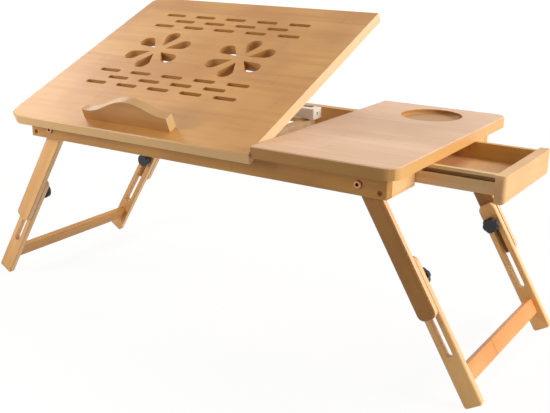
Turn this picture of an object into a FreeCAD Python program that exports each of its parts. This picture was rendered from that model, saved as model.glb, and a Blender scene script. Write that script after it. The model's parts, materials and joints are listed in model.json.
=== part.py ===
import FreeCAD, Part
import math
import os

# Folding laptop stand: split top, tilting left panel, side drawer, two pairs
# of telescopic legs.  Millimetres, +Z up, origin on the ground under the
# middle of the table, +Y to the rear, +X to the drawer end.

os.makedirs("parts", exist_ok=True)

# ---------------------------------------------------------------- sizes
# top panels
table_length = 500.0
table_depth = 300.0
panel_thickness = 12.0
fixed_panel_length = 157.0
split_gap = 1.5
corner_radius = 15.0
edge_bevel = 1.2
tilt_at_rest = 23.0

# cup recess in the fixed panel
cup_radius = 35.0
cup_depth = 5.0
cup_inset_side = 73.0
cup_inset_rear = 52.0
cup_floor_bevel = 1.5

# frame under the panels
rail_thickness = 12.0
rail_height = 24.0
side_overhang = 18.0
end_overhang = 16.0
rail_bevel = 0.8
divider_setback = 2.0
divider_notch_depth = 11.0

# legs
leg_width = 20.0
leg_thickness = 8.0
leg_pivot_inset = 30.4
leg_pivot_drop = 13.0
leg_stop_clearance = 0.2
leg_edge_bevel = 1.0
upper_leg_reach = 146.5
lower_leg_start = 84.5
lower_leg_reach = 241.6
leg_end_radius = 7.0
foot_radius = 3.0
leg_slide_gap = 0.3
slot_start = 104.0
slot_end = 189.0
slot_width = 7.4
brace_start = 203.5
brace_width = 18.0
brace_thickness = 8.0
brace_round = 1.5
tenon_length = 6.0
tenon_shoulder = 2.0

# pivot bolts, washers and nuts
bolt_radius = 2.5
bolt_head_radius = 4.2
bolt_head_height = 1.8
bolt_head_bevel = 0.8
bolt_socket_flats = 3.5
bolt_socket_depth = 1.4
washer_radius = 6.0
washer_thickness = 0.5
nut_flats = 8.0
nut_height = 4.0

# knobs and inserts
knob_reach = 108.0
stud_radius = 2.95
insert_radius = 4.2
insert_length = 6.0
knob_radius = 9.0
knob_neck_radius = 5.8
knob_neck_top_radius = 7.4
knob_height = 11.0
knob_neck_height = 4.0
knob_lobes = 6
knob_flute_radius = 3.0
knob_bevel = 1.2
knob_gap = 0.2
knob_stud_depth = 7.0

# drawer
drawer_front_edge = -68.0
drawer_width = 123.0
drawer_length = 125.0
drawer_height = 20.4
drawer_drop = 0.3
drawer_open = 81.0
drawer_wall = 6.0
drawer_floor_thickness = 2.7
drawer_floor_rabbet = 3.0
drawer_side_clearance = 1.0
front_board_thickness = 10.5
front_board_height = 28.0
front_board_near = 2.0
front_board_far = 12.0
front_board_drop = 0.5
front_board_round = 4.0
groove_drop = 3.2
groove_height = 4.3
groove_depth = 3.2
tongue_clearance = 0.3
guide_width = 10.0
drawer_pin_radius = 1.5
drawer_pin_length = 16.0

# hinges of the tilting panel
hinge_length = 40.0
hinge_inset = 60.0
hinge_leaf_width = 11.0
hinge_leaf_thickness = 0.9
hinge_knuckle_radius = 2.2
hinge_pin_radius = 1.1
hinge_knuckles = 5
hinge_knuckle_gap = 0.3
hinge_pocket_clearance = 0.3

# prop that holds the panel up, and the notched racks under it
rack_width = 12.0
rack_height = 8.1
rack_right_setback = 95.0
rack_spacing = 190.0
rack_half_run = 78.0
slat_width = 12.0
slat_height = 6.0
prop_pivot_run = 170.0
prop_pivot_drop = 14.0
prop_arm_length = 116.0
prop_arm_width = 7.0
prop_eye_radius = 5.5
prop_foot_radius = 4.3
prop_arm_thickness = 7.0
prop_arm_outset = 4.0
crossbar_radius = 3.0
crossbar_overhang = 3.0
crossbar_gap = 0.3
prop_pin_radius = 2.0
prop_block_width = 10.0
prop_block_depth = 16.0
prop_block_gap = 0.4
notch_depth = 3.5
notch_clearance = 0.4
notch_angles = (18.0, 23.0, 28.0, 33.0)

# cooling vents in the tilting panel
vent_length = 30.8
vent_width = 6.4
vent_pitch = 47.2
vent_row_pitch = 14.0
vent_lower_run = 87.0
vent_upper_run = 228.0
vent_centre = -88.0
vent_columns = 5
flower_run = 170.0
flower_spread = 61.8
petal_count = 6
petal_inner_reach = 9.5
petal_outer_reach = 42.5
petal_width = 19.5

# book stop along the front of the tilting panel
stop_length = 122.0
stop_thickness = 11.0
stop_run = 14.5
stop_left = -138.0
stop_low = 12.2
stop_peak = 30.0
stop_tail = 16.6
stop_dowel_radius = 2.5
stop_dowel_length = 14.0

# magnetic catch on the rear rail
catch_length = 40.0
catch_depth = 19.0
catch_height = 13.5
catch_right = 18.0
catch_drop = 0.4
catch_eye_radius = 2.4
catch_eye_depth = 14.0
catch_bevel = 0.8
magnet_length = 22.0
magnet_width = 6.0
magnet_height = 4.0
magnet_setback = 6.0
magnet_proud = 0.3
strike_thickness = 0.8
strike_width = 7.2

# screws, dowels and fits
screw_head_radius = 2.8
screw_socket_flats = 2.2
screw_socket_depth = 1.0
screw_radius = 1.8
screw_length = 26.0
screw_inset = 7.0
screw_rise = 5.8
catch_screw_length = 22.0
dowel_radius = 3.0
dowel_sink = 8.0
dowel_cover = 1.5
dowel_pitch = 40.0
running_fit = 0.06
wood_fit = 0.02

# ---------------------------------------------------------------- derived
half_length = table_length / 2
half_depth = table_depth / 2
frame_x = half_length - end_overhang
frame_y = half_depth - side_overhang
rail_in_x = frame_x - rail_thickness
rail_in_y = frame_y - rail_thickness
half_leg = leg_width / 2


def leg_lean():
    """Angle from vertical at which the leg's outer face meets the end rail."""
    side = leg_pivot_inset - rail_thickness
    drop = rail_height - leg_pivot_drop
    reach = math.hypot(side, drop)
    return math.acos((half_leg + leg_stop_clearance) / reach) - math.atan2(drop, side)


lean = leg_lean()
leg_rise = (lower_leg_reach - foot_radius) * math.cos(lean)
leg_rise += (half_leg - foot_radius) * math.sin(lean) + foot_radius
under = leg_rise + leg_pivot_drop
top = under + panel_thickness
frame_bottom = under - rail_height
pivot_x = frame_x - leg_pivot_inset
pivot_z = under - leg_pivot_drop

upper_leg_out = rail_in_y - washer_thickness
upper_leg_in = upper_leg_out - leg_thickness
lower_leg_out = upper_leg_in - leg_slide_gap
lower_leg_in = lower_leg_out - leg_thickness

fixed_left = half_length - fixed_panel_length
dowel_length = dowel_sink + panel_thickness - cup_depth - dowel_cover
tilt_right = fixed_left - split_gap
divider_left = fixed_left + divider_setback
divider_right = divider_left + rail_thickness

hinge_y = -frame_y
hinge_z = under

rack_top = frame_bottom + rack_height
rack_right_x = fixed_left - rack_right_setback
rack_left_x = rack_right_x - rack_spacing
bar_z = rack_top + crossbar_gap + crossbar_radius

drawer_rear_edge = drawer_front_edge + drawer_width
opening_front = drawer_front_edge - drawer_side_clearance
opening_rear = drawer_rear_edge + drawer_side_clearance
drawer_top = under - drawer_drop
drawer_bottom = drawer_top - drawer_height
drawer_x1 = frame_x + drawer_open
drawer_x0 = drawer_x1 - drawer_length
groove_top = drawer_top - groove_drop
groove_bottom = groove_top - groove_height


# ---------------------------------------------------------------- helpers
def vec(x, y, z):
    return FreeCAD.Vector(x, y, z)


def box(x0, x1, y0, y1, z0, z1):
    return Part.makeBox(x1 - x0, y1 - y0, z1 - z0, vec(x0, y0, z0))


def rod(radius, length, start, axis):
    return Part.makeCylinder(radius, length, start, axis)


def prism(points, direction):
    wire = Part.makePolygon([vec(*p) for p in points] + [vec(*points[0])])
    return Part.Face(wire).extrude(direction)


def hexagon(flats, height, centre, axis):
    """Hexagonal prism standing on a Y-normal plane."""
    radius = flats / math.sqrt(3)
    points = []
    for k in range(6):
        angle = math.radians(60 * k)
        points.append((centre.x + radius * math.cos(angle), centre.y,
                       centre.z + radius * math.sin(angle)))
    return prism(points, axis * height)


def fillet_where(shape, radius, test):
    """Round the edges whose centre and direction pass the test."""
    edges = [e for e in shape.Edges if test(e)]
    if not edges:
        return shape
    return shape.makeFillet(radius, edges)


def bevel_where(shape, width, test):
    """Break the edges that pass the test with a narrow flat."""
    edges = [e for e in shape.Edges if test(e)]
    if not edges:
        return shape
    return shape.makeChamfer(width, edges)


def runs_along(edge, axis):
    if not isinstance(edge.Curve, Part.Line):
        return False
    return abs(edge.tangentAt(edge.FirstParameter).dot(axis)) > 0.999


def cut_all(shape, tools):
    for tool in tools:
        shape = shape.cut(tool)
    return shape


def mirror_y(shape):
    return shape.mirror(vec(0, 0, 0), vec(0, 1, 0))


def mirror_x(shape):
    return shape.mirror(vec(0, 0, 0), vec(1, 0, 0))


def raise_panel(shape):
    """Turn a piece of the tilting panel from flat to its place at rest."""
    turned = shape.copy()
    turned.rotate(vec(0, hinge_y, hinge_z), vec(1, 0, 0), tilt_at_rest)
    return turned


def lean_leg(shape):
    """Take a leg drawn straight down from its pivot to the right end."""
    placed = shape.copy()
    placed.rotate(vec(0, 0, 0), vec(0, 1, 0), -math.degrees(lean))
    placed.translate(vec(pivot_x, 0, pivot_z))
    return placed


def both(shape):
    """A front piece and its mirror image at the rear, as separate solids."""
    return Part.makeCompound([shape, mirror_y(shape)])


def all_four(shape):
    pair = [shape, mirror_y(shape)]
    return Part.makeCompound(pair + [mirror_x(s) for s in pair])


# ---------------------------------------------------------------- panels
def panel_blank(x0, x1, round_right):
    blank = box(x0, x1, -half_depth, half_depth, under, top)
    end = x1 if round_right else x0
    blank = fillet_where(blank, corner_radius, lambda e: runs_along(e, vec(0, 0, 1))
                         and abs(e.CenterOfMass.x - end) < 0.01)
    other = x0 if round_right else x1
    return bevel_where(blank, edge_bevel, lambda e: abs(e.CenterOfMass.z - top) < 0.01
                       and abs(e.CenterOfMass.x - other) > 0.01)


def dowel_places():
    mid = (divider_right + rail_in_x) / 2 - dowel_pitch / 2
    rows = []
    for k in range(2):
        for side in (-1, 1):
            rows.append((mid + (k - 0.25) * dowel_pitch, side * (frame_y - rail_thickness / 2)))
    middle = (divider_left + divider_right) / 2
    rows.append((middle, -rack_half_run / 2))
    rows.append((middle, rack_half_run / 2))
    return rows


def dowel_bores(fit):
    bores = []
    for x, y in dowel_places():
        bores.append(rod(dowel_radius + fit, dowel_length, vec(x, y, under - dowel_sink),
                         vec(0, 0, 1)))
    return bores


def fixed_top_panel():
    panel = panel_blank(fixed_left, half_length, True)
    centre = vec(half_length - cup_inset_side, half_depth - cup_inset_rear, top - cup_depth)
    recess = rod(cup_radius, cup_depth + 1, centre, vec(0, 0, 1))
    recess = bevel_where(recess, cup_floor_bevel,
                         lambda e: abs(e.CenterOfMass.z - centre.z) < 0.01
                         and isinstance(e.Curve, Part.Circle))
    panel = panel.cut(recess)
    return cut_all(panel, dowel_bores(wood_fit))


def run_y(run):
    """Y of a point at the given distance behind the panel's front edge."""
    return run - half_depth


def slot_cut(x, y):
    depth = panel_thickness + 2
    half = (vent_length - vent_width) / 2
    body = box(x - half, x + half, y - vent_width / 2, y + vent_width / 2, under - 1, top + 1)
    for side in (-half, half):
        end = rod(vent_width / 2, depth, vec(x + side, y, under - 1), vec(0, 0, 1))
        body = body.fuse(end)
    return body.removeSplitter()


def vent_rows():
    cuts = []
    for first in (vent_lower_run, vent_upper_run):
        for row in range(3):
            count = vent_columns - row % 2
            start = vent_centre - (count - 1) * vent_pitch / 2
            for k in range(count):
                cuts.append(slot_cut(start + k * vent_pitch, run_y(first + row * vent_row_pitch)))
    return cuts


def petal(centre, angle):
    """One petal: a teardrop with its point toward the flower's centre."""
    ray = vec(math.cos(angle), math.sin(angle), 0)
    side = vec(-ray.y, ray.x, 0)
    radius = petal_width / 2
    point = centre + ray * petal_inner_reach
    bulb = centre + ray * (petal_outer_reach - radius)
    lean_in = math.asin(radius / (bulb - point).Length)
    shoulder = side * (radius * math.cos(lean_in))
    back = bulb - ray * (radius * math.sin(lean_in))
    arc = Part.Arc(back + shoulder, bulb + ray * radius, back - shoulder).toShape()
    sides = [Part.makeLine(point, back + shoulder), arc, Part.makeLine(back - shoulder, point)]
    return Part.Face(Part.Wire(sides)).extrude(vec(0, 0, panel_thickness + 2))


def flower_cuts():
    cuts = []
    for side in (-1, 1):
        centre = vec(vent_centre + side * flower_spread, run_y(flower_run), under - 1)
        for k in range(petal_count):
            cuts.append(petal(centre, math.radians(30 + 360 * k / petal_count)))
    return cuts


def stop_dowel_places():
    return [stop_left + stop_length * share for share in (0.2, 0.8)]


def stop_dowels_flat(fit):
    rods = []
    y = run_y(stop_run + stop_thickness / 2)
    for x in stop_dowel_places():
        rods.append(rod(stop_dowel_radius + fit, stop_dowel_length,
                        vec(x, y, top - stop_dowel_length / 2), vec(0, 0, 1)))
    return rods


def tilt_panel():
    panel = panel_blank(-half_length, tilt_right, False)
    panel = cut_all(panel, vent_rows())
    panel = cut_all(panel, flower_cuts())
    panel = cut_all(panel, stop_dowels_flat(wood_fit))
    panel = cut_all(panel, leaf_pockets(True) + [strike_flat(wood_fit)])
    return raise_panel(panel)


def book_stop():
    y = run_y(stop_run)
    right = stop_left + stop_length
    heights = [(0.0, stop_low), (0.19, stop_low + 2.6), (0.39, stop_peak - 5.0),
               (0.59, stop_peak), (0.735, stop_peak - 4.2), (0.89, stop_tail + 1.8),
               (1.0, stop_tail)]
    crest = Part.BSplineCurve()
    crest.interpolate([vec(stop_left + share * stop_length, y, top + h) for share, h in heights])
    base = [vec(stop_left, y, top + stop_low), vec(stop_left, y, top), vec(right, y, top),
            vec(right, y, top + stop_tail)]
    sides = [Part.LineSegment(base[k], base[k + 1]).toShape() for k in range(3)]
    outline = Part.Wire(sides + [crest.toShape()])
    stop = Part.Face(outline).extrude(vec(0, stop_thickness, 0))
    return raise_panel(cut_all(stop, stop_dowels_flat(wood_fit)))


def stop_dowels():
    return raise_panel(Part.makeCompound(stop_dowels_flat(0.0)))


# ---------------------------------------------------------------- frame
def bolt_bore(x, radius):
    return rod(radius, 2 * half_depth, vec(x, -half_depth, pivot_z), vec(0, 1, 0))


def screw_axis_z():
    return frame_bottom + screw_rise


def front_rail():
    rail = box(-frame_x, frame_x, -frame_y, -rail_in_y, frame_bottom, under)
    rail = bevel_where(rail, rail_bevel, lambda e: abs(e.CenterOfMass.y + frame_y) < 0.01
                       and e.CenterOfMass.z < under - 1)
    tools = [bolt_bore(pivot_x, bolt_radius + running_fit),
             bolt_bore(-pivot_x, bolt_radius + running_fit)]
    tools += [screw(x, -frame_y, 1, screw_length, running_fit) for x in screw_xs()]
    tools += dowel_bores(wood_fit) + leaf_pockets(False)
    return cut_all(rail, tools)


def rear_rail():
    rail = box(-frame_x, frame_x, rail_in_y, frame_y, frame_bottom, under)
    rail = bevel_where(rail, rail_bevel, lambda e: abs(e.CenterOfMass.y - frame_y) < 0.01
                       and e.CenterOfMass.z < under - 1)
    tools = [bolt_bore(pivot_x, bolt_radius + running_fit),
             bolt_bore(-pivot_x, bolt_radius + running_fit)]
    tools += [screw(x, frame_y, -1, screw_length, running_fit) for x in screw_xs()]
    tools += dowel_bores(wood_fit)
    tools += [catch_screw(x, wood_fit) for x in catch_screw_xs()]
    return cut_all(rail, tools)


def screw_xs():
    return (-(frame_x - screw_inset), frame_x - screw_inset)


def screw(x, y, toward, length, fit):
    """Countersunk screw along Y from an outer face, flush with it."""
    z = screw_axis_z()
    axis = vec(0, toward, 0)
    shank = rod(screw_radius + fit, length + fit, vec(x, y, z), axis)
    head = Part.makeCone(screw_head_radius + fit, screw_radius + fit,
                         screw_head_radius - screw_radius, vec(x, y, z), axis)
    return shank.fuse(head)


def frame_screws():
    solids = []
    for x in screw_xs():
        for side in (-1, 1):
            body = screw(x, side * frame_y, -side, screw_length, 0.0)
            face = vec(x, side * frame_y, screw_axis_z())
            socket = hexagon(screw_socket_flats, screw_socket_depth, face, vec(0, -side, 0))
            solids.append(body.cut(socket))
    return Part.makeCompound(solids)


def end_rail(x_out, y0, y1):
    inner = x_out - math.copysign(rail_thickness, x_out)
    rail = box(min(x_out, inner), max(x_out, inner), y0, y1, frame_bottom, under)
    tools = []
    if y0 < -rail_in_y + 1:
        tools += [screw(x, -frame_y, 1, screw_length, running_fit) for x in screw_xs()]
    if y1 > rail_in_y - 1:
        tools += [screw(x, frame_y, -1, screw_length, running_fit) for x in screw_xs()]
    return cut_all(rail, tools)


def divider_rail():
    rail = box(divider_left, divider_right, -rail_in_y, rail_in_y, frame_bottom, under)
    for side in (-1, 1):
        y0, y1 = sorted((side * rack_half_run, side * (rail_in_y + 1)))
        rail = rail.cut(box(divider_left - 1, divider_right + 1, y0, y1, frame_bottom - 1,
                            frame_bottom + divider_notch_depth))
    return cut_all(rail, dowel_bores(wood_fit))


def panel_dowels():
    return Part.makeCompound(dowel_bores(0.0))


def drawer_guide(front):
    """Beam beside the drawer with the tongue that the drawer hangs on."""
    edge = opening_front if front else opening_rear
    side = 1 if front else -1
    y0, y1 = sorted((edge, edge - side * guide_width))
    beam = box(divider_right, rail_in_x, y0, y1, frame_bottom, under)
    reach = drawer_side_clearance + groove_depth - tongue_clearance
    t0, t1 = sorted((edge, edge + side * reach))
    tongue = box(divider_right, rail_in_x, t0, t1, groove_bottom + tongue_clearance,
                 groove_top - tongue_clearance)
    return beam.fuse(tongue).removeSplitter()


# ---------------------------------------------------------------- legs
def leg_profile(start, end, round_top, end_radius):
    """Leg blank hanging straight down; start and end are distances below the
    pivot, drawn in the XZ plane and one leg thick along Y."""
    blank = box(-half_leg, half_leg, 0, leg_thickness, -end, -start)
    if round_top:
        cap = rod(half_leg, leg_thickness, vec(0, 0, -start), vec(0, 1, 0))
        blank = blank.fuse(cap).removeSplitter()
    else:
        blank = fillet_where(blank, end_radius, lambda e: runs_along(e, vec(0, 1, 0))
                             and e.CenterOfMass.z > -start - 1)
    return blank


def bevel_faces(blank):
    return bevel_where(blank, leg_edge_bevel, lambda e: abs(e.tangentAt(e.FirstParameter).y) < 0.5)


def upper_leg():
    leg = leg_profile(0.0, upper_leg_reach, True, 0.0)
    leg = fillet_where(leg, leg_end_radius, lambda e: runs_along(e, vec(0, 1, 0))
                       and e.CenterOfMass.z < -upper_leg_reach + 1)
    leg = bevel_faces(leg)
    leg = leg.cut(rod(bolt_radius + running_fit, leg_thickness + 2, vec(0, -1, 0), vec(0, 1, 0)))
    depth = insert_length + stud_end_gap()
    bore = rod(insert_radius + wood_fit, depth, vec(0, leg_thickness - depth, -knob_reach),
               vec(0, 1, 0))
    leg = leg.cut(bore)
    leg.translate(vec(0, -upper_leg_out, 0))
    return lean_leg(leg)


def stud_end_gap():
    return 0.5


def leg_insert():
    """Threaded bush flush with the inner face of the upper leg."""
    start = vec(0, -upper_leg_in - insert_length, -knob_reach)
    bush = rod(insert_radius, insert_length, start, vec(0, 1, 0))
    bush = bush.cut(rod(stud_radius + running_fit, insert_length, start, vec(0, 1, 0)))
    return lean_leg(bush)


def lower_leg():
    leg = leg_profile(lower_leg_start, lower_leg_reach, False, leg_end_radius)
    leg = fillet_where(leg, foot_radius, lambda e: runs_along(e, vec(0, 1, 0))
                       and e.CenterOfMass.z < -lower_leg_reach + 1)
    leg = bevel_faces(leg)
    half = slot_width / 2
    slot = box(-half, half, -1, leg_thickness + 1, -(slot_end - half), -(slot_start + half))
    for reach in (slot_start + half, slot_end - half):
        slot = slot.fuse(rod(half, leg_thickness + 2, vec(0, -1, -reach), vec(0, 1, 0)))
    leg = leg.cut(slot.removeSplitter())
    leg.translate(vec(0, -lower_leg_out, 0))
    return lean_leg(leg.cut(brace_tenon(wood_fit)))


def brace_tenon(fit):
    """Stub tenon of the brace, toward the front leg, before the leg leans."""
    return box(-brace_thickness / 2 + tenon_shoulder - fit, brace_thickness / 2 - tenon_shoulder + fit,
               -lower_leg_in - tenon_length - fit, -lower_leg_in + 1,
               -(brace_start + brace_width - tenon_shoulder) - fit,
               -(brace_start + tenon_shoulder) + fit)


def brace():
    bar = box(-brace_thickness / 2, brace_thickness / 2, -lower_leg_in, lower_leg_in,
              -(brace_start + brace_width), -brace_start)
    bar = fillet_where(bar, brace_round, lambda e: runs_along(e, vec(0, 1, 0)))
    bar = bar.fuse(brace_tenon(0.0)).fuse(mirror_y(brace_tenon(0.0))).removeSplitter()
    return lean_leg(bar)


def knob_handle():
    """Fluted handle with a conical neck, on the inner face of the lower leg."""
    y0 = -lower_leg_in + knob_gap
    neck = Part.makeCone(knob_neck_radius, knob_neck_top_radius, knob_neck_height,
                         vec(0, y0, -knob_reach), vec(0, 1, 0))
    head = rod(knob_radius, knob_height - knob_neck_height, vec(0, y0 + knob_neck_height,
                                                                -knob_reach), vec(0, 1, 0))
    head = bevel_where(head, knob_bevel, lambda e: isinstance(e.Curve, Part.Circle)
                       and e.CenterOfMass.y > y0 + knob_neck_height + 1)
    handle = neck.fuse(head)
    ring = knob_radius + knob_flute_radius * 0.55
    for k in range(knob_lobes):
        angle = 2 * math.pi * (k + 0.5) / knob_lobes
        flute = rod(knob_flute_radius, knob_height + 2,
                    vec(ring * math.cos(angle), y0 - 1, -knob_reach + ring * math.sin(angle)),
                    vec(0, 1, 0))
        handle = handle.cut(flute)
    stud = rod(stud_radius + wood_fit, knob_stud_depth + 1, vec(0, y0 - 1, -knob_reach), vec(0, 1, 0))
    return lean_leg(handle.cut(stud))


def knob_stud():
    y0 = -upper_leg_in - insert_length
    y1 = -lower_leg_in + knob_gap + knob_stud_depth
    return lean_leg(rod(stud_radius, y1 - y0, vec(0, y0, -knob_reach), vec(0, 1, 0)))


def pivot_bolt():
    head = rod(bolt_head_radius, bolt_head_height, vec(pivot_x, -frame_y - bolt_head_height, pivot_z),
               vec(0, 1, 0))
    head = bevel_where(head, bolt_head_bevel,
                       lambda e: e.CenterOfMass.y < -frame_y - bolt_head_height + 0.01
                       and isinstance(e.Curve, Part.Circle))
    socket = hexagon(bolt_socket_flats, bolt_socket_depth,
                     vec(pivot_x, -frame_y - bolt_head_height, pivot_z), vec(0, 1, 0))
    end = -upper_leg_in + nut_height + 1.0
    shank = rod(bolt_radius, end + frame_y, vec(pivot_x, -frame_y, pivot_z), vec(0, 1, 0))
    return head.cut(socket).fuse(shank)


def pivot_washer():
    start = vec(pivot_x, -rail_in_y, pivot_z)
    ring = rod(washer_radius, washer_thickness, start, vec(0, 1, 0))
    return ring.cut(rod(bolt_radius + wood_fit, washer_thickness, start, vec(0, 1, 0)))


def pivot_nut():
    start = vec(pivot_x, -upper_leg_in, pivot_z)
    nut = hexagon(nut_flats, nut_height, start, vec(0, 1, 0))
    return nut.cut(rod(bolt_radius + wood_fit, nut_height, start, vec(0, 1, 0)))


# ---------------------------------------------------------------- drawer
def drawer_front():
    y0 = drawer_front_edge - front_board_near
    y1 = drawer_rear_edge + front_board_far
    z1 = under - front_board_drop
    board = box(drawer_x1, drawer_x1 + front_board_thickness, y0, y1, z1 - front_board_height, z1)
    outer = drawer_x1 + front_board_thickness
    board = fillet_where(board, front_board_round, lambda e: abs(e.CenterOfMass.x - outer) < 0.01
                         and e.CenterOfMass.z < z1 - 1)
    return cut_all(board, drawer_pin_rods(wood_fit))


def drawer_side(front):
    inner = drawer_front_edge + drawer_wall if front else drawer_rear_edge - drawer_wall
    outer = drawer_front_edge if front else drawer_rear_edge
    y0, y1 = sorted((inner, outer))
    side = box(drawer_x0, drawer_x1, y0, y1, drawer_bottom, drawer_top)
    depth = groove_depth if front else -groove_depth
    g0, g1 = sorted((outer - math.copysign(1, depth), outer + depth))
    groove = box(drawer_x0 - 1, drawer_x1 - drawer_wall * 2, g0, g1, groove_bottom, groove_top)
    side = side.cut(groove).cut(floor_plate())
    return cut_all(side, drawer_pin_rods(wood_fit))


def drawer_back():
    back = box(drawer_x0, drawer_x0 + drawer_wall, drawer_front_edge + drawer_wall,
               drawer_rear_edge - drawer_wall, drawer_bottom, drawer_top)
    return cut_all(back, [floor_plate()] + drawer_pin_rods(wood_fit))


def floor_plate():
    return box(drawer_x0 + drawer_wall - drawer_floor_rabbet, drawer_x1,
               drawer_front_edge + drawer_wall - drawer_floor_rabbet,
               drawer_rear_edge - drawer_wall + drawer_floor_rabbet,
               drawer_bottom, drawer_bottom + drawer_floor_thickness)


def drawer_pin_rods(fit):
    """Pins through the sides into the back, and from the sides into the front."""
    rods = []
    z = (drawer_bottom + drawer_floor_thickness + groove_bottom) / 2
    for side in (-1, 1):
        outer = drawer_front_edge if side < 0 else drawer_rear_edge
        rods.append(rod(drawer_pin_radius + fit, drawer_pin_length,
                        vec(drawer_x0 + drawer_wall / 2, outer, z), vec(0, -side, 0)))
        y = outer - side * drawer_wall / 2
        rods.append(rod(drawer_pin_radius + fit, drawer_pin_length,
                        vec(drawer_x1 - drawer_pin_length / 2, y, z), vec(1, 0, 0)))
    return rods


# ---------------------------------------------------------------- hinges
def hinge_starts():
    return (-half_length + hinge_inset, tilt_right - hinge_inset - hinge_length)


def leaf_flat(start, upper):
    """One leaf with its share of the knuckles, in the closed position."""
    side = 1 if upper else -1
    z0, z1 = sorted((hinge_z + side * 0.1, hinge_z + side * hinge_leaf_thickness))
    leaf = box(start, start + hinge_length, hinge_y, hinge_y + hinge_leaf_width, z0, z1)
    pitch = hinge_length / hinge_knuckles
    clear = hinge_knuckle_radius + hinge_knuckle_gap
    for k in range(hinge_knuckles):
        x0 = start + k * pitch
        if (k % 2 == 1) == upper:
            gap = hinge_knuckle_gap / 2
            leaf = leaf.fuse(rod(hinge_knuckle_radius, pitch - 2 * gap, vec(x0 + gap, hinge_y, hinge_z),
                                 vec(1, 0, 0)))
        else:
            gap = hinge_knuckle_gap / 2
            leaf = leaf.cut(box(x0 - gap, x0 + pitch + gap, hinge_y - clear, hinge_y + clear,
                                hinge_z - clear, hinge_z + clear))
    fit = running_fit if upper else wood_fit
    return leaf.cut(rod(hinge_pin_radius + fit, hinge_length + 2, vec(start - 1, hinge_y, hinge_z),
                        vec(1, 0, 0)))


def leaf_pockets(upper):
    """Gains that let the leaves and the barrel into the wood."""
    pockets = []
    side = 1 if upper else -1
    clear = hinge_knuckle_radius + hinge_pocket_clearance
    for start in hinge_starts():
        z0, z1 = sorted((hinge_z - side, hinge_z + side * hinge_leaf_thickness))
        pockets.append(box(start, start + hinge_length, hinge_y, hinge_y + hinge_leaf_width, z0, z1))
        pockets.append(rod(clear, hinge_length + 2 * hinge_pocket_clearance,
                           vec(start - hinge_pocket_clearance, hinge_y, hinge_z), vec(1, 0, 0)))
    return pockets


def hinge_lower_leaves():
    return Part.makeCompound([leaf_flat(s, False) for s in hinge_starts()])


def hinge_upper_leaves():
    return raise_panel(Part.makeCompound([leaf_flat(s, True) for s in hinge_starts()]))


def hinge_pins():
    return Part.makeCompound([rod(hinge_pin_radius, hinge_length, vec(s, hinge_y, hinge_z),
                                  vec(1, 0, 0)) for s in hinge_starts()])


# ---------------------------------------------------------------- prop
def pivot_at(angle):
    """Distances of the prop pivot behind and above the hinge line."""
    turn = math.radians(angle)
    back = prop_pivot_run * math.cos(turn) + prop_pivot_drop * math.sin(turn)
    rise = prop_pivot_run * math.sin(turn) - prop_pivot_drop * math.cos(turn)
    return back, rise


def prop_dip(angle, bar_height):
    """Angle below level of the prop arms when the bar lies at the height."""
    rise = pivot_at(angle)[1] + hinge_z
    return math.asin((rise - bar_height) / prop_arm_length)


def bar_y(angle, bar_height):
    back = pivot_at(angle)[0]
    return hinge_y + back - prop_arm_length * math.cos(prop_dip(angle, bar_height))


def prop_rack(x, y0, y1):
    rack = box(x, x + rack_width, y0, y1, frame_bottom, rack_top)
    radius = crossbar_radius + notch_clearance
    for angle in notch_angles:
        y = bar_y(angle, bar_z)
        level = rack_top - notch_depth + radius
        rack = rack.cut(rod(radius, rack_width + 2, vec(x - 1, y, level), vec(1, 0, 0)))
    return rack


def rack_slats():
    solids = []
    for side in (-1, 1):
        y0, y1 = sorted((side * rack_half_run, side * (rack_half_run - slat_width)))
        spans = ((-rail_in_x, rack_left_x), (rack_left_x + rack_width, rack_right_x))
        for x0, x1 in spans:
            solids.append(box(x0, x1, y0, y1, frame_bottom, frame_bottom + slat_height))
    return Part.makeCompound(solids)


def arm_x(right):
    """Left side of an arm; each stands just outside its rack."""
    if right:
        return rack_right_x + rack_width + prop_arm_outset
    return rack_left_x - prop_arm_outset - prop_arm_thickness


def prop_ends():
    back, rise = pivot_at(tilt_at_rest)
    pivot = vec(0, hinge_y + back, hinge_z + rise)
    foot = vec(0, bar_y(tilt_at_rest, bar_z), bar_z)
    return pivot, foot


def prop_arm(right):
    x = arm_x(right)
    pivot, foot = prop_ends()
    half = prop_arm_width / 2
    ends = []
    for point, radius in ((pivot, prop_eye_radius), (foot, prop_foot_radius)):
        ends.append(rod(radius, prop_arm_thickness, vec(x, point.y, point.z), vec(1, 0, 0)))
    along = (foot - pivot).normalize()
    across = vec(0, -along.z, along.y) * half
    corners = [pivot + across, foot + across, foot - across, pivot - across]
    web = prism([(x, c.y, c.z) for c in corners], vec(prop_arm_thickness, 0, 0))
    arm = web.fuse(ends[0]).fuse(ends[1]).removeSplitter()
    arm = arm.cut(rod(prop_pin_radius + running_fit, prop_arm_thickness + 2,
                      vec(x - 1, pivot.y, pivot.z), vec(1, 0, 0)))
    return arm.cut(rod(crossbar_radius + wood_fit, prop_arm_thickness + 2, vec(x - 1, foot.y, foot.z),
                       vec(1, 0, 0)))


def prop_crossbar():
    foot = prop_ends()[1]
    x0 = arm_x(False) - crossbar_overhang
    x1 = arm_x(True) + prop_arm_thickness + crossbar_overhang
    return rod(crossbar_radius, x1 - x0, vec(x0, foot.y, foot.z), vec(1, 0, 0))


def block_span(right):
    """X range of the pivot block beside an arm, on the side away from the rack."""
    if right:
        x0 = arm_x(True) + prop_arm_thickness + prop_block_gap
        return x0, x0 + prop_block_width
    x1 = arm_x(False) - prop_block_gap
    return x1 - prop_block_width, x1


def pin_flat(right, fit):
    x0, x1 = block_span(right)
    reach = prop_arm_thickness + prop_block_gap + 1.5
    start = x0 - reach if right else x0
    return rod(prop_pin_radius + fit, prop_block_width + reach,
               vec(start, hinge_y + prop_pivot_run, hinge_z - prop_pivot_drop), vec(1, 0, 0))


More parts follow.
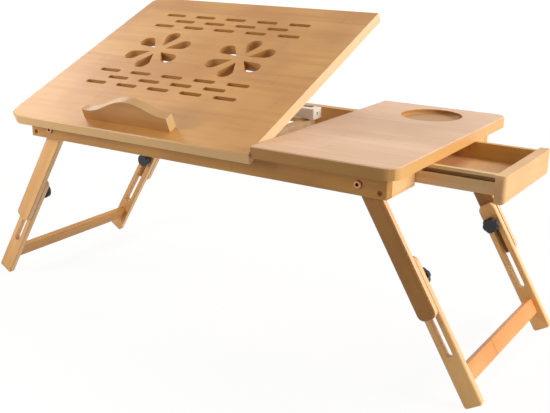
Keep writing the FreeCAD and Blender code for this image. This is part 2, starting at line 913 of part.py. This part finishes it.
def prop_pivot_blocks():
    solids = []
    for right in (False, True):
        x0, x1 = block_span(right)
        y = hinge_y + prop_pivot_run
        half = prop_block_depth / 2
        drop = prop_pivot_drop
        block = box(x0, x1, y - half, y + half, under - drop, under)
        foot = rod(half, x1 - x0, vec(x0, y, under - drop), vec(1, 0, 0))
        foot = foot.common(box(x0 - 1, x1 + 1, y - half, y + half, under - drop - 5, under - drop))
        block = block.fuse(foot).removeSplitter()
        solids.append(block.cut(pin_flat(right, wood_fit)))
    return raise_panel(Part.makeCompound(solids))


def prop_pins():
    return raise_panel(Part.makeCompound([pin_flat(False, 0.0), pin_flat(True, 0.0)]))


# ---------------------------------------------------------------- catch
def catch_screw_xs():
    return (catch_right - catch_length * 0.88, catch_right - catch_length * 0.56)


def catch_top():
    return under - catch_drop


def catch_screw(x, fit):
    y = rail_in_y - catch_depth
    z = catch_top() - catch_height * 0.62
    shank = rod(screw_radius * 0.8 + fit, catch_screw_length + fit, vec(x, y + 1.5, z), vec(0, 1, 0))
    head = rod(screw_head_radius * 0.75 + fit, 1.5, vec(x, y, z), vec(0, 1, 0))
    return shank.fuse(head)


def catch_magnet():
    x = catch_right - catch_length / 2
    y = rail_in_y - magnet_setback
    return box(x - magnet_length / 2, x + magnet_length / 2, y - magnet_width / 2,
               y + magnet_width / 2, catch_top() - magnet_height + magnet_proud,
               catch_top() + magnet_proud)


def catch_body():
    body = box(catch_right - catch_length, catch_right, rail_in_y - catch_depth, rail_in_y,
               catch_top() - catch_height, catch_top())
    body = bevel_where(body, catch_bevel, lambda e: e.CenterOfMass.y < rail_in_y - catch_depth + 0.01
                       and (runs_along(e, vec(0, 0, 1)) or runs_along(e, vec(1, 0, 0))))
    eye = rod(catch_eye_radius, catch_eye_depth + 1,
              vec(catch_right - catch_eye_depth, rail_in_y - catch_depth / 2,
                  catch_top() - catch_height / 2), vec(1, 0, 0))
    tools = [catch_magnet(), eye] + [catch_screw(x, wood_fit) for x in catch_screw_xs()]
    return cut_all(body, tools)


def catch_screws():
    return Part.makeCompound([catch_screw(x, 0.0) for x in catch_screw_xs()])


def strike_flat(fit):
    """Steel plate let in flush with the underside of the panel."""
    x = catch_right - catch_length / 2
    y = rail_in_y - magnet_setback
    half = magnet_length / 2 + 2 + fit
    reach = strike_width / 2 + fit
    return box(x - half, x + half, y - reach, y + reach, under - 10 * fit,
               under + strike_thickness + fit)


def catch_strike():
    return raise_panel(strike_flat(0.0))


# ---------------------------------------------------------------- nodes
def leg_nodes():
    nodes = {}
    for name, shape in (("upper_leg", upper_leg()), ("lower_leg", lower_leg())):
        nodes["right_%s_front" % name] = shape
        nodes["right_%s_rear" % name] = mirror_y(shape)
        nodes["left_%s_front" % name] = mirror_x(shape)
        nodes["left_%s_rear" % name] = mirror_x(mirror_y(shape))
    nodes["right_leg_inserts"] = both(leg_insert())
    nodes["left_leg_inserts"] = mirror_x(both(leg_insert()))
    nodes["right_brace"] = brace()
    nodes["left_brace"] = mirror_x(brace())
    for name, shape in (("handle", knob_handle()), ("stud", knob_stud())):
        nodes["knob_%s_right_front" % name] = shape
        nodes["knob_%s_right_rear" % name] = mirror_y(shape)
        nodes["knob_%s_left_front" % name] = mirror_x(shape)
        nodes["knob_%s_left_rear" % name] = mirror_x(mirror_y(shape))
    return nodes


nodes = {
    "fixed_top_panel": fixed_top_panel(),
    "tilt_panel": tilt_panel(),
    "book_stop": book_stop(),
    "stop_dowels": stop_dowels(),
    "front_rail": front_rail(),
    "rear_rail": rear_rail(),
    "left_end_rail": end_rail(-frame_x, -rail_in_y, rail_in_y),
    "right_end_rail_front": end_rail(frame_x, -rail_in_y, opening_front),
    "right_end_rail_rear": end_rail(frame_x, opening_rear, rail_in_y),
    "divider_rail": divider_rail(),
    "drawer_guide_front": drawer_guide(True),
    "drawer_guide_rear": drawer_guide(False),
    "frame_screws": frame_screws(),
    "panel_dowels": panel_dowels(),
    "pivot_bolts": all_four(pivot_bolt()),
    "pivot_washers": all_four(pivot_washer()),
    "pivot_nuts": all_four(pivot_nut()),
    "drawer_front": drawer_front(),
    "drawer_side_front": drawer_side(True),
    "drawer_side_rear": drawer_side(False),
    "drawer_back": drawer_back(),
    "drawer_floor": floor_plate(),
    "drawer_pins": Part.makeCompound(drawer_pin_rods(0.0)),
    "hinge_lower_leaves": hinge_lower_leaves(),
    "hinge_upper_leaves": hinge_upper_leaves(),
    "hinge_pins": hinge_pins(),
    "prop_rack_left": prop_rack(rack_left_x, -rack_half_run, rack_half_run),
    "prop_rack_right": prop_rack(rack_right_x, -rail_in_y, rail_in_y),
    "rack_slats": rack_slats(),
    "prop_arm_left": prop_arm(False),
    "prop_arm_right": prop_arm(True),
    "prop_crossbar": prop_crossbar(),
    "prop_pivot_blocks": prop_pivot_blocks(),
    "prop_pins": prop_pins(),
    "catch_body": catch_body(),
    "catch_magnet": catch_magnet(),
    "catch_screws": catch_screws(),
    "catch_strike": catch_strike(),
}
nodes.update(leg_nodes())

for name, shape in nodes.items():
    shape.exportStep("parts/%s.step" % name)
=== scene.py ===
import json
import math

import bmesh
import bpy
from mathutils import Matrix, Vector


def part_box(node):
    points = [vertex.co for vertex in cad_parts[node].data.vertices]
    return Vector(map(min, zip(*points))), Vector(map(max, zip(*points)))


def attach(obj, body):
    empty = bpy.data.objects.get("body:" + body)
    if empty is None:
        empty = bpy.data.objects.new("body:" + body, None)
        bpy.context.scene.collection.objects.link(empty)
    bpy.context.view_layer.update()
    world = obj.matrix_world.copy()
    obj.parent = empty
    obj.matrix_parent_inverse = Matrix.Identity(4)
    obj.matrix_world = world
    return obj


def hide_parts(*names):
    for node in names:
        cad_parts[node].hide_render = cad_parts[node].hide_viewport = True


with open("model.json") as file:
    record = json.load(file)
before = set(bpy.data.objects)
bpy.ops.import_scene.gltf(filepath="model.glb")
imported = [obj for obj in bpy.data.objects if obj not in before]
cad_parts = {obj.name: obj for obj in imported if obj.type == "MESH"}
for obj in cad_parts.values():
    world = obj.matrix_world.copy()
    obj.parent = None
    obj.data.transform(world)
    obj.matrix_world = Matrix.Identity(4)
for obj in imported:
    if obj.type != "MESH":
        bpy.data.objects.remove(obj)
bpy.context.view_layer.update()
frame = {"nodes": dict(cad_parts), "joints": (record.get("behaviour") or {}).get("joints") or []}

MM = 0.001

# ---------------------------------------------------------------- sizes
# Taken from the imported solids, so that the looks follow the CAD.
table_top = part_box("fixed_top_panel")[1].z
bolt_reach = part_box("pivot_bolts")[1].y
slide_axis = {joint["name"]: joint for joint in frame["joints"]}["right_leg_extend"]["axis"]
lean = math.atan2(slide_axis[0], -slide_axis[2])   # of the legs, from upright
tilt = math.radians(23.0)                          # of the left panel, from level
quarter = math.pi / 2

# In millimetres.
bolt_face = 0.9        # depth of a bolt's head left in its own colour; deeper, the socket and the head's side get painted shade
brace_splice = 27.6    # from the right brace's middle to its glued butt joint
splice_line = 1.6      # width of the dark line at that joint
routed_skin = 3.0      # a board's outline is nearer to its limits than this, a cut-out isn't
sunk_skin = 1.0        # a recess's floor lies deeper than this below the top
groove_drop, groove_height, groove_depth = 3.2, 4.3, 3.2   # of each drawer side's groove
groove_inset, groove_ease = 0.3, 0.1   # where its painted shade starts, and how far past its walls
groove_run = 20.0      # the stretch behind the front board that is cut here

# Bamboo, in millimetres.  Real fibres are about 0.4 wide and drawn wider, so that they show.
cloud_length, cloud_width = 150.0, 10.0
fibre_length, fibre_width = 45.0, 1.1
cane_joints = 260.0    # from one joint of the cane to the next
stain_width = 90.0

strip_shift = 3.1      # metres, the most that a strip's figure is moved along it
facing_least = 0.6     # a surface looks along an axis where its normal has at least this of it

# ---------------------------------------------------------------- colours
DARK_LINE = "#7A4E22"
CUT_WALL_SHADE = "#BE8C4C"   # painted shade on the end grain of a cut-out's walls
RECESS_SHADE = "#B98546"       # painted shade on the floor of a recess
GROOVE_SHADE = "#A4743A"     # painted shade in a narrow groove, where it is darker
SOCKET_SHADE = "#3A2414"      # painted shade in a bolt's tool socket and on the side of its head


def linear(code):
    """An sRGB hex colour as linear RGBA."""
    values = [int(code[k:k + 2], 16) / 255 for k in (1, 3, 5)]
    return (*(v / 12.92 if v <= 0.04045 else ((v + 0.055) / 1.055) ** 2.4 for v in values), 1.0)


# ---------------------------------------------------------------- materials
def join(tree, node, inputs):
    """Gives each input a value, another node, which stands for that node's
    first output, or one of a node's outputs."""
    for key, value in inputs.items():
        if isinstance(value, bpy.types.Node):
            value = value.outputs[0]
        if isinstance(value, bpy.types.NodeSocket):
            tree.links.new(value, node.inputs[key])
        else:
            node.inputs[key].default_value = value


def add(tree, kind, inputs, **settings):
    """Adds a shader node with its settings and inputs."""
    node = tree.nodes.new("ShaderNode" + kind)
    for key, value in settings.items():
        setattr(node, key, value)
    join(tree, node, inputs)
    return node


def new_material(name):
    material = bpy.data.materials.new(name)
    material.use_nodes = True
    tree = material.node_tree
    return material, tree, tree.nodes["Principled BSDF"]


def inside_only(tree, axes, limits):
    """1 where a point lies within the limits, given for two axes as (low, high)
    in metres, and 0 elsewhere."""
    within = [add(tree, "Math", {0: axes[axis], 1: (low + high) / 2, 2: (high - low) / 2},
                  operation="COMPARE") for axis, (low, high) in limits.items()]
    return add(tree, "Math", {0: within[0], 1: within[1]}, operation="MULTIPLY")


def drawn_out(tree, along, side, other, length, width, detail, roughness):
    """Noise drawn out along the grain, its length and width in millimetres."""
    place = add(tree, "CombineXYZ", {
        key: add(tree, "Math", {0: distance, 1: size * MM}, operation="DIVIDE")
        for key, (distance, size) in enumerate(((along, length), (side, width), (other, width)))})
    return add(tree, "TexNoise", {"Vector": place, "Scale": 1.0, "Detail": detail,
                                  "Roughness": roughness})


def bamboo_figure(tree, along, side, other, strip, seed, splice):
    """How pale the wood is, from 0 to 1, with its fibres and the bands at the
    cane's joints, which stand a little proud."""
    number = add(tree, "Math", {0: side, 1: strip * MM}, operation="DIVIDE")
    number = add(tree, "Math", {0: number}, operation="FLOOR")
    number = add(tree, "Math", {0: number, 1: seed}, operation="ADD")
    tone = add(tree, "TexWhiteNoise", {"W": number}, noise_dimensions="1D").outputs["Value"]
    shifted = add(tree, "Math", {0: tone, 1: strip_shift, 2: along}, operation="MULTIPLY_ADD")

    cloud = drawn_out(tree, shifted, side, other, cloud_length, cloud_width, 3.0, 0.5)
    fibre = drawn_out(tree, shifted, side, other, fibre_length, fibre_width, 2.0, 0.6)

    # a faint narrow band across each strip, its edge a little wavy
    phase = add(tree, "Math", {0: shifted, 1: cane_joints * MM}, operation="DIVIDE")
    phase = add(tree, "Math", {0: phase}, operation="FRACT")
    near = add(tree, "Math", {0: phase, 1: 0.5}, operation="SUBTRACT")
    near = add(tree, "Math", {0: near}, operation="ABSOLUTE")
    wavy = add(tree, "Math", {0: cloud, 1: 0.02, 2: near}, operation="MULTIPLY_ADD")
    band = add(tree, "MapRange", {"Value": wavy, "From Min": 0.011, "From Max": 0.017,
                                  "To Min": 1.0, "To Max": 0.0})

    shares = [(fibre, 0.2), (cloud, 0.62), (tone, 0.18), (band, -0.12)]
    if splice is not None:
        line = add(tree, "Math", {0: along, 1: splice * MM, 2: splice_line / 2 * MM},
                   operation="COMPARE")
        shares.append((line, -0.6))
    figure = 0.0
    for part, share in shares:
        figure = add(tree, "Math", {0: part, 1: share, 2: figure}, operation="MULTIPLY_ADD")
    return figure, fibre, band


def cut_coats(tree, axes, facing, face, edge, end, routed, sunk):
    """The colours of a board's narrow sides, and the painted shade of its cuts, each with its
    mask.
    """
    narrow = add(tree, "Math", {0: facing[face], 1: 0.0, 2: facing_least}, operation="COMPARE")
    coats = []
    if edge:
        coats.append((add(tree, "Math", {0: narrow, 1: 0.9}, operation="MULTIPLY"), edge))
    if end:
        endwise = add(tree, "Math", {0: facing["X"]}, operation="ABSOLUTE")
        endwise = add(tree, "Math", {0: narrow, 1: endwise}, operation="MULTIPLY")
        coats.append((endwise, end))
    # the walls of cut-outs are painted darker as shade
    if routed:
        inner = inside_only(tree, axes, routed)
        wall = add(tree, "Math", {0: narrow, 1: inner}, operation="MULTIPLY")
        coats.append((wall, CUT_WALL_SHADE))
    # the floor of a recess is painted darker as shade
    if sunk:
        below = add(tree, "Math", {0: axes["Z"], 1: sunk}, operation="LESS_THAN")
        up = add(tree, "Math", {0: facing[face], 1: facing_least}, operation="GREATER_THAN")
        bed = add(tree, "Math", {0: below, 1: up}, operation="MULTIPLY")
        coats.append((add(tree, "Math", {0: bed, 1: 0.8}, operation="MULTIPLY"), RECESS_SHADE))
    return coats


def bamboo(name, light, mid, dark, turn=(0.0, 0.0, 0.0), strip=22.0, across="Y", seed=0.0,
           splice=None, edge=None, end=None, face="Z", routed=None, sunk=None, groove=None):
    """Laminated bamboo, planed and lacquered satin: strips glued edge to edge,
    each a shade lighter or darker, with fine fibres along the strip, faint cross
    marks where the cane had its joints, and soft brown stains from steaming.  The
    lacquer gives it a broad soft sheen.

    turn lays the grain along X.  across is the axis along which the strips lie side
    by side, and strip is their width in mm.  splice is the place, in mm along the
    grain, of a glued butt joint.  edge colours the narrow sides, those that don't
    look along the face axis, and end those of them that look along the grain.  The
    cuts get painted shade: routed gives the limits inside which a narrow side is a
    cut-out's wall, sunk the height below which a floor looks up from a recess, and
    groove the limits of a groove; each is painted darker there as shade."""
    material, tree, shader = new_material(name)
    coords = add(tree, "TexCoord", {}).outputs
    laid = add(tree, "Mapping", {"Vector": coords["Object"], "Rotation": turn},
               vector_type="POINT")
    axes = add(tree, "SeparateXYZ", {0: laid}).outputs
    side, other = (axes["Y"], axes["Z"]) if across == "Y" else (axes["Z"], axes["Y"])
    figure, fibre, band = bamboo_figure(tree, axes["X"], side, other, strip, seed, splice)
    shades = add(tree, "ValToRGB", {0: figure})
    stops = ((0.0, DARK_LINE), (0.2, dark), (0.5, mid), (0.8, light))
    while len(shades.color_ramp.elements) < len(stops):
        shades.color_ramp.elements.new(0.5)
    for element, (place, code) in zip(shades.color_ramp.elements, stops):
        element.position = place
        element.color = linear(code)

    stain = add(tree, "TexNoise", {"Vector": coords["Object"], "Scale": 1 / (stain_width * MM),
                                   "Detail": 2.0, "Roughness": 0.45})
    stained = add(tree, "MapRange", {"Value": stain, "From Min": 0.42, "From Max": 0.68,
                                     "To Min": 0.0, "To Max": 0.75})
    coats = [(stained, dark)]
    if edge or routed:
        # the object's own normal, turned as the grain is, tells faces from edges
        normal = add(tree, "Mapping", {"Vector": coords["Normal"], "Rotation": turn},
                     vector_type="VECTOR")
        facing = add(tree, "SeparateXYZ", {0: normal}).outputs
        coats += cut_coats(tree, axes, facing, face, edge, end, routed, sunk)
    # the groove is painted darker as shade
    if groove:
        coats.append((inside_only(tree, axes, groove), GROOVE_SHADE))
    colour = shades
    for mask, code in coats:
        colour = add(tree, "Mix", {0: mask, 6: colour, 7: linear(code)},
                     data_type="RGBA").outputs[2]

    rough = add(tree, "MapRange", {"Value": fibre, "To Min": 0.38, "To Max": 0.52})
    relief = add(tree, "Math", {0: fibre, 1: 0.6, 2: band}, operation="MULTIPLY_ADD")
    bump = add(tree, "Bump", {"Height": relief, "Strength": 0.08, "Distance": 0.12 * MM})
    join(tree, shader, {"Base Color": colour, "Roughness": rough, "Normal": bump, "IOR": 1.5})
    return material


def moulded(name, colour, roughness, grit):
    """Injection moulded plastic, or ferrite pressed in a mould.  The mould's fine
    skin, its grit in millimetres, breaks up the highlights."""
    material, tree, shader = new_material(name)
    place = add(tree, "TexCoord", {}).outputs["Object"]
    skin = add(tree, "TexNoise", {"Vector": place, "Scale": 1 / (grit * MM), "Detail": 2.0})
    rough = add(tree, "MapRange", {"Value": skin, "To Min": roughness - 0.06,
                                   "To Max": roughness + 0.08})
    bump = add(tree, "Bump", {"Height": skin, "Strength": 0.15, "Distance": 0.05 * MM})
    join(tree, shader, {"Base Color": linear(colour), "Roughness": rough, "Normal": bump})
    return material


def metal(name, colour, roughness, streak, hollow=None):
    """Turned or rolled metal.  Its fine tool marks, streak millimetres across,
    make the shine uneven.  hollow is the distance from the middle plane, in metres
    along Y, within which the metal is painted dark as shade: a tool socket and the
    side of a bolt's head."""
    material, tree, shader = new_material(name)
    place = add(tree, "TexCoord", {}).outputs["Object"]
    marks = add(tree, "TexNoise", {"Vector": place, "Scale": 1 / (streak * MM), "Detail": 3.0})
    rough = add(tree, "MapRange", {"Value": marks, "To Min": roughness - 0.08,
                                   "To Max": roughness + 0.1})
    join(tree, shader, {"Base Color": linear(colour), "Roughness": rough, "Metallic": 1.0})
    # the socket and the side of the head are painted darker as shade
    if hollow:
        depth = add(tree, "SeparateXYZ", {0: place}).outputs["Y"]
        within = add(tree, "Math", {0: depth, 1: 0.0, 2: hollow}, operation="COMPARE")
        darker = add(tree, "Mix", {0: within, 6: linear(colour), 7: linear(SOCKET_SHADE)},
                     data_type="RGBA")
        join(tree, shader, {"Base Color": darker.outputs[2]})
    return material


def within_edges(name, turn):
    """The limits along X and Y of a board less a skin, after a turn about X."""
    turned = Matrix.Rotation(turn, 3, "X")
    points = [turned @ vertex.co for vertex in frame["nodes"][name].data.vertices]
    skin = routed_skin * MM
    return {axis: (min(p[k] for p in points) + skin, max(p[k] for p in points) - skin)
            for k, axis in enumerate("XY")}


def groove_roof(name):
    """The height of the upper wall of a drawer side's groove."""
    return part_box(name)[1].z - groove_drop * MM


def within_groove(name):
    """The limits along Y and Z of the groove in a drawer side."""
    low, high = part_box(name)
    roof = groove_roof(name)
    return {"Y": (low.y + groove_inset * MM, high.y - groove_inset * MM),
            "Z": (roof - (groove_height + groove_ease) * MM, roof + groove_ease * MM)}


# Turns that lay a piece's grain along X.
crosswise = (0, 0, quarter)
tilted = (-tilt, 0, 0)
right_leg = (0, lean - quarter, 0)
left_leg = (0, -lean - quarter, 0)

top_bamboo = bamboo("bamboo_top", "#F6CEAC", "#EEC4A0", "#DDB088", strip=24.0, seed=3.0,
                    edge="#A06E08", end="#E0B070", routed=within_edges("fixed_top_panel", 0.0),
                    sunk=table_top - sunk_skin * MM)
tilt_bamboo = bamboo("bamboo_tilted_top", "#E1AB62", "#D69C53", "#BF813C", turn=tilted,
                     strip=24.0, seed=9.0, edge="#D2AB72", end="#F0D0A6",
                     routed=within_edges("tilt_panel", -tilt))
stop_bamboo = bamboo("bamboo_stop", "#C6924F", "#B98343", "#A06C30", turn=tilted, seed=2.0,
                     face="Y", edge="#C49254", end="#D9B887")
rail_bamboo = bamboo("bamboo_rail", "#C69246", "#B78338", "#9C6A28", across="Z", strip=12.0,
                     seed=5.0)
rear_rail_bamboo = bamboo("bamboo_rear_rail", "#E4B068", "#DAA358", "#C08A44", across="Z",
                          strip=12.0, seed=18.0)
cross_bamboo = bamboo("bamboo_cross_rail", "#F4C892", "#EDBF86", "#DDAB70", turn=crosswise,
                      across="Z", strip=12.0, seed=6.0)
side_bamboo = bamboo("bamboo_drawer_side", "#F8D6A2", "#F2CC94", "#DDB070", across="Z",
                     strip=10.0, seed=7.0, groove=within_groove("drawer_side_front"))
far_side_bamboo = bamboo("bamboo_drawer_far_side", "#ECC27A", "#E1B66A", "#CC9C50", across="Z",
                         strip=10.0, seed=12.0, groove=within_groove("drawer_side_rear"))
floor_bamboo = bamboo("bamboo_drawer_floor", "#FBD09C", "#F7C68F", "#DFAC74", turn=crosswise,
                      strip=30.0, seed=14.0)
brace_bamboo = bamboo("bamboo_brace", "#F4B276", "#EEA96A", "#D99250", turn=crosswise,
                      across="Z", strip=30.0, seed=8.0, splice=brace_splice)
left_brace_bamboo = bamboo("bamboo_left_brace", "#E4B066", "#D9A258", "#BF8640", turn=crosswise,
                           across="Z", strip=30.0, seed=4.0)
# The right legs' upper and lower pieces are one bamboo in two copies: the upper is darkened as
# painted shade under the top, the lower lightened as painted light from the floor.
right_upper_shaded_bamboo = bamboo("bamboo_right_upper_leg_painted_shade", "#B7823A", "#AA742C", "#8E5D20",
                            turn=right_leg, strip=10.0, seed=11.0, face="Y", edge="#F0D0A8")
right_lower_lit_bamboo = bamboo("bamboo_right_lower_leg_painted_light", "#FACB88", "#F4C07A", "#DBA25C",
                            turn=right_leg, strip=10.0, seed=15.0, face="Y", edge="#F0D0A8")
left_leg_bamboo = bamboo("bamboo_left_leg", "#ECBC80", "#E2AE70", "#C99452", turn=left_leg,
                         strip=10.0, seed=13.0, face="Y", edge="#EBC9A0")
pale_bamboo = bamboo("bamboo_pale", "#ECD0AA", "#E2C095", "#CDA573", strip=18.0, seed=17.0)
black_abs = moulded("moulded_black_abs", "#141418", 0.36, 0.6)
white_abs = moulded("moulded_white_abs", "#FBF8F2", 0.42, 0.5)
zinc = metal("zinc_plated_steel", "#B9BBBE", 0.34, 1.2)
brass = metal("turned_brass", "#D9A878", 0.36, 0.8)
bolt_brass = metal("bolt_brass", "#B58464", 0.55, 0.8, hollow=bolt_reach - bolt_face * MM)
blackened = metal("blackened_steel", "#6E4A26", 0.5, 0.8)
ferrite = moulded("sintered_ferrite", "#2B2A2C", 0.6, 0.4)

# The start of a node's name tells its finish.  The small steel parts left are zinc plated.
finish_of = {
    "fixed_top_panel": top_bamboo, "tilt_panel": tilt_bamboo, "book_stop": stop_bamboo,
    "front_rail": rail_bamboo, "rear_rail": rear_rail_bamboo, "left_end_rail": cross_bamboo,
    "right_end_rail": cross_bamboo, "divider_rail": cross_bamboo, "prop_arm": cross_bamboo,
    "drawer_side_front": side_bamboo, "drawer_side_rear": far_side_bamboo,
    "drawer_front": cross_bamboo, "drawer_back": cross_bamboo, "drawer_floor": floor_bamboo,
    "drawer_guide": pale_bamboo, "drawer_pins": pale_bamboo, "panel_dowels": pale_bamboo,
    "stop_dowels": pale_bamboo, "prop_rack": pale_bamboo, "rack_slats": pale_bamboo,
    "prop_pivot_blocks": pale_bamboo, "right_upper_leg": right_upper_shaded_bamboo,
    "right_lower_leg": right_lower_lit_bamboo, "left_upper_leg": left_leg_bamboo,
    "left_lower_leg": left_leg_bamboo, "right_brace": brace_bamboo,
    "left_brace": left_brace_bamboo, "right_leg_inserts": brass, "left_leg_inserts": brass,
    "pivot_bolts": bolt_brass, "frame_screws": blackened, "knob_handle": black_abs,
    "catch_body": white_abs, "catch_magnet": ferrite,
}

for name, node in frame["nodes"].items():
    finish = next((kept for start, kept in finish_of.items() if name.startswith(start)), zinc)
    for slot in node.material_slots:
        slot.material = finish


# ---------------------------------------------------------------- drawer grooves
def block(name, limits):
    """A plain block between limits given as (low, high) for X, Y and Z."""
    mesh = bpy.data.meshes.new(name)
    form = bmesh.new()
    bmesh.ops.create_cube(form, size=1.0)
    for vertex in form.verts:
        vertex.co = [low + (high - low) * (place + 0.5)
                     for place, (low, high) in zip(vertex.co, limits)]
    form.to_mesh(mesh)
    form.free()
    return bpy.data.objects.new(name, mesh)


def run_groove_out(name, outer, inward):
    """Runs a drawer side's groove on to the back of the front board.  outer is
    where the side's outer face lies along Y, and inward, 1 or -1, the way in from it."""
    board_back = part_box("drawer_front")[0].x
    roof = groove_roof(name)
    reach = sorted((outer - inward * MM, outer + inward * groove_depth * MM))
    cutter = block(name + "_cutter", ((board_back - groove_run * MM, board_back), reach,
                                      (roof - groove_height * MM, roof)))
    side = frame["nodes"][name].copy()
    side.name = name + "_grooved"
    for shown in (cutter, side):
        bpy.context.collection.objects.link(shown)
    cut = side.modifiers.new("groove", "BOOLEAN")
    cut.operation, cut.object, cut.solver = "DIFFERENCE", cutter, "EXACT"
    bpy.context.view_layer.update()
    depsgraph = bpy.context.evaluated_depsgraph_get()
    side.data = bpy.data.meshes.new_from_object(side.evaluated_get(depsgraph))
    side.modifiers.clear()
    bpy.data.objects.remove(cutter)
    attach(side, "drawer")
    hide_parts(name)


run_groove_out("drawer_side_front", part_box("drawer_side_front")[0].y, 1)
run_groove_out("drawer_side_rear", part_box("drawer_side_rear")[1].y, -1)

# ---------------------------------------------------------------- camera
# Seen from the front right, a little above the top.
camera_place = Vector((583.3, -870.5, 446.5)) * MM
yaw, pitch, roll = (math.radians(a) for a in (32.586, -17.309, 0.707))
focal_px, frame_width_px, sensor_mm = 910.4, 550.0, 36.0

ahead = Vector((-math.sin(yaw) * math.cos(pitch), math.cos(yaw) * math.cos(pitch),
                math.sin(pitch)))
level = Vector((math.cos(yaw), math.sin(yaw), 0.0))
upward = level.cross(ahead)
right = level * math.cos(roll) + upward * math.sin(roll)
above = upward * math.cos(roll) - level * math.sin(roll)

camera_data = bpy.data.cameras.new("camera")
camera_data.sensor_width = sensor_mm
camera_data.lens = focal_px / frame_width_px * sensor_mm
camera_data.clip_end = 50.0
camera = bpy.data.objects.new("camera", camera_data)
camera.matrix_world = (Matrix.Translation(camera_place)
                       @ Matrix((right, above, -ahead)).transposed().to_4x4())
bpy.context.collection.objects.link(camera)
bpy.context.scene.camera = camera


# ---------------------------------------------------------------- studio
def white_to_camera(tree, surface, amount, strength=1.0):
    """Adds plain white, for what the camera, gloss and glass see, to a surface.
    The amount may change over it."""
    path = add(tree, "LightPath", {}).outputs
    seen = add(tree, "Math", {0: path["Is Camera Ray"], 1: path["Is Glossy Ray"]},
               operation="MAXIMUM")
    seen = add(tree, "Math", {0: seen, 1: path["Is Transmission Ray"]}, operation="MAXIMUM")
    share = add(tree, "Math", {0: seen, 1: amount}, operation="MULTIPLY")
    glow = add(tree, "Emission", {"Color": (1, 1, 1, 1), "Strength": strength})
    return add(tree, "MixShader", {0: share, 1: surface, 2: glow})


def studio_floor(reach=8.0, near=0.7, far=1.8):
    """A pale painted floor.  It keeps the stand's shadow as far out as near, and
    from far on it melts into the world's white."""
    mesh = bpy.data.meshes.new("studio_floor")
    mesh.from_pydata([(-reach, -reach, 0), (reach, -reach, 0), (reach, reach, 0),
                      (-reach, reach, 0)], [], [(0, 1, 2, 3)])
    floor = bpy.data.objects.new("studio_floor", mesh)
    bpy.context.collection.objects.link(floor)
    material, tree, shader = new_material("painted_floor")
    join(tree, shader, {"Base Color": (0.6, 0.6, 0.6, 1), "Roughness": 0.9})
    place = add(tree, "TexCoord", {}).outputs["Object"]
    away = add(tree, "VectorMath", {0: place}, operation="LENGTH").outputs["Value"]
    amount = add(tree, "MapRange", {"Value": away, "From Min": near, "From Max": far,
                                    "To Min": 0.88, "To Max": 1.0})
    join(tree, tree.nodes["Material Output"],
         {"Surface": white_to_camera(tree, shader, amount, 1.06)})
    mesh.materials.append(material)


def studio_world():
    """Dim white light all round, and full white where the camera looks past the floor."""
    world = bpy.data.worlds.new("studio")
    world.use_nodes = True
    bpy.context.scene.world = world
    tree = world.node_tree
    dim = tree.nodes["Background"]
    join(tree, dim, {"Color": (1, 1, 1, 1), "Strength": 0.17})
    join(tree, tree.nodes["World Output"], {"Surface": white_to_camera(tree, dim, 1.0)})


def lamp(name, place, size, power, colour="#FFFFFF", mirrored=True):
    """An area lamp aimed at the stand.  One that isn't mirrored lights surfaces
    but leaves no glare on them."""
    data = bpy.data.lights.new(name, "AREA")
    data.shape = "DISK"
    data.size = size
    data.energy = power
    data.color = linear(colour)[:3]
    stand_middle = Vector((0, 0, 0.2))
    hung = bpy.data.objects.new(name, data)
    hung.location = place
    hung.visible_glossy = mirrored
    hung.rotation_euler = (stand_middle - Vector(place)).to_track_quat("-Z", "Y").to_euler()
    bpy.context.collection.objects.link(hung)


studio_floor()
studio_world()
lamp("key_right", (2.4, 0.3, 0.95), 1.2, 54, "#FFF6EA", mirrored=False)
lamp("top_rear", (0.2, 1.1, 2.2), 1.4, 17, "#FFFDF8")
lamp("fill_left", (-0.62, -0.62, 0.42), 0.35, 4.0, "#FFFAF4")
lamp("sheen_left", (-1.4, 0.4, 1.1), 0.6, 6)
bpy.context.scene.view_settings.view_transform = "Standard"
